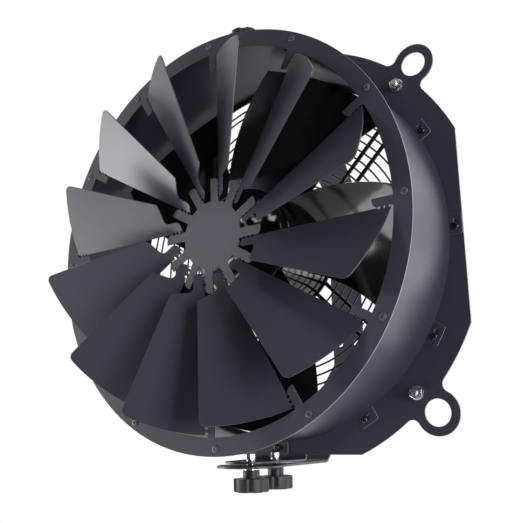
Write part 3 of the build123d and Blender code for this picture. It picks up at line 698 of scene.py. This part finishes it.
def onPlate(centre, normal):
    # not on the swivel flanges, which are bent forward from the plate
    inSheet = paintedEdgeHighlight["plateFront"] < centre.y < paintedEdgeHighlight["plateRear"]
    return isEdge(centre, normal, paintedEdgeHighlight["drumReach"]) and inSheet and abs(centre.x) > paintedEdgeHighlight["flange"]


for name, wanted in (("guideRing", onRing), ("drumShell", onDrumTabs), ("backPlate", onPlate)):
    sheet = bpy.data.objects[name]
    selectOnly(sheet)
    # the lighter edge colour is a painted highlight, not a finish of its own
    sheet.data.materials.append(looks["paintedEdgeHighlight"])
    pickFaces(sheet, wanted)
    sheet.active_material_index = 1
    bpy.ops.object.material_slot_assign()
    bpy.ops.object.mode_set(mode="OBJECT")
print("light cut edges")

# Camera, solved from the photo
cameraView = {
    "place": (0.51223, -0.96198, -0.21973), "lens": 49.885, "sensor": 36.0, "near": 0.01,
    "right": (0.81875819, 0.57381874, -0.01915924),
    "up": (0.14346823, -0.17216915, 0.97456383),
    "forward": (-0.55592436, 0.80068086, 0.22328966),
}
bpy.ops.object.camera_add(location=cameraView["place"])
camera = bpy.context.object
camera.name = "camera"
right, up, forward = (Vector(cameraView[key]) for key in ("right", "up", "forward"))
camera.rotation_euler = Matrix((right, up, -forward)).transposed().to_euler()
camera.data.lens = cameraView["lens"]
camera.data.sensor_width = cameraView["sensor"]
camera.data.clip_start = cameraView["near"]
bpy.context.scene.camera = camera

# Floor: plain and pale, but white where shiny faces mirror the part of it behind the fan
floorLook = {
    "z": -0.95, "size": 30.0, "colour": (0.86, 0.86, 0.86), "rough": 0.9,
    "gloss": 1.4, "behind": (0.0, 0.6),  # its brightness in reflections, and the Y range where that grows
}
bpy.ops.mesh.primitive_plane_add(size=floorLook["size"], location=(0, 0, floorLook["z"]))
floor = bpy.context.object
floor.name = "floor"
floorMaterial, tree, floorShader, place = newMaterial("paleFloor")
floorShader.inputs["Base Color"].default_value = (*floorLook["colour"], 1.0)
floorShader.inputs["Roughness"].default_value = floorLook["rough"]
rays = tree.nodes.new("ShaderNodeLightPath")
glow = tree.nodes.new("ShaderNodeEmission")
mix = tree.nodes.new("ShaderNodeMixShader")
split = tree.nodes.new("ShaderNodeSeparateXYZ")
link(tree, place, split.inputs["Vector"])
behind = rangeNode(tree, split.outputs["Y"], *floorLook["behind"], 0.0, floorLook["gloss"])
inGloss = mathNode(tree, "MULTIPLY", rays.outputs["Is Glossy Ray"], behind)
link(tree, mathNode(tree, "MAXIMUM", rays.outputs["Is Camera Ray"], inGloss), mix.inputs["Fac"])
link(tree, floorShader.outputs["BSDF"], mix.inputs[1])
link(tree, glow.outputs["Emission"], mix.inputs[2])
link(tree, mix.outputs["Shader"], tree.nodes["Material Output"].inputs["Surface"])
floor.data.materials.append(floorMaterial)

# World: white where the camera sees it, else a dim fill, and bright in reflections of the back
worldLook = {"front": 0.05, "back": 0.1, "fill": (-0.2, 0.7), "gloss": 1.4, "shine": (0.1, 0.6), "seen": 1.0}
world = bpy.data.worlds.new("studio")
bpy.context.scene.world = world
world.use_nodes = True
tree = world.node_tree
background = tree.nodes["Background"]
rays = tree.nodes.new("ShaderNodeLightPath")
seen = mathNode(tree, "MAXIMUM", rays.outputs["Is Camera Ray"], rays.outputs["Is Transmission Ray"])
split = tree.nodes.new("ShaderNodeSeparateXYZ")
link(tree, tree.nodes.new("ShaderNodeTexCoord").outputs["Generated"], split.inputs["Vector"])
fill = rangeNode(tree, split.outputs["Y"], *worldLook["fill"], worldLook["front"], worldLook["back"])
shine = rangeNode(tree, split.outputs["Y"], *worldLook["shine"], 0.0, worldLook["gloss"])
unseen = mathNode(tree, "ADD", fill, mathNode(tree, "MULTIPLY", rays.outputs["Is Glossy Ray"], shine))
link(tree, rangeNode(tree, seen, 0.0, 1.0, unseen, worldLook["seen"]), background.inputs["Strength"])
background.inputs["Color"].default_value = (1.0, 1.0, 1.0, 1.0)

# Lamps: soft boxes round the fan, powers in watts
lamps = {
    "leftPanelBox": {
        "place": (-1.45, -0.66, -0.22), "aim": (-0.1, -0.33, 0), "size": (0.4, 0.6), "power": 6.4,
    },
    "leftLowBox": {"place": (-1.02, -1.24, -0.8), "aim": (-0.1, -0.33, 0), "size": (0.5, 0.5), "power": 4.1},
    "leftBox": {"place": (-1.35, -0.65, -0.35), "aim": (-0.05, -0.33, 0), "size": (0.9, 1.3), "power": 8.6},
    "leftHighBox": {"place": (-1.3, -0.7, 0.9), "aim": (0, -0.3, 0), "size": (0.8, 0.8), "power": 4.7},
    "leftBackBox": {"place": (-1.3, 0.3, 0.3), "aim": (0, -0.3, 0), "size": (0.8, 1.2), "power": 4.6},
    "hubBox": {"place": (-0.9, -1.6, 0.35), "aim": (0, -0.33, 0), "size": (0.4, 0.4), "power": 3.5},
    "frontBox": {"place": (-0.2, -2.2, 1.0), "aim": (0, -0.3, 0), "size": (1.2, 1.0), "power": 1.1},
    "topBox": {"place": (0.5, -0.7, 1.5), "aim": (0, -0.3, 0), "size": (1.2, 1.0), "power": 4.4},
    "rightSideBox": {"place": (1.9, -0.9, 0.0), "aim": (0.1, -0.25, 0), "size": (0.8, 1.2), "power": 33.0},
    "rightHighBox": {"place": (1.2, 1.0, 1.0), "aim": (0.1, -0.2, 0), "size": (0.8, 0.8), "power": 4.1},
    "rightLowBox": {"place": (1.1, 0.9, -0.5), "aim": (0.1, -0.2, 0), "size": (1.0, 1.0), "power": 6.1},
}
lamps["rightSideBox"]["colour"] = (0.91, 0.93, 1.0)  # a little cooler than the others
for lampName, lamp in lamps.items():
    bpy.ops.object.light_add(type="AREA", location=lamp["place"])
    light = bpy.context.object
    light.name = lampName
    light.data.shape = "RECTANGLE"
    light.data.size, light.data.size_y = lamp["size"]
    light.data.energy = lamp["power"]
    light.data.color = lamp.get("colour", (1.0, 1.0, 1.0))
    aim = Vector(lamp["aim"]) - Vector(lamp["place"])
    light.rotation_euler = aim.to_track_quat("-Z", "Y").to_euler()
bpy.context.scene.view_settings.view_transform = "Standard"
print("camera and lights set")
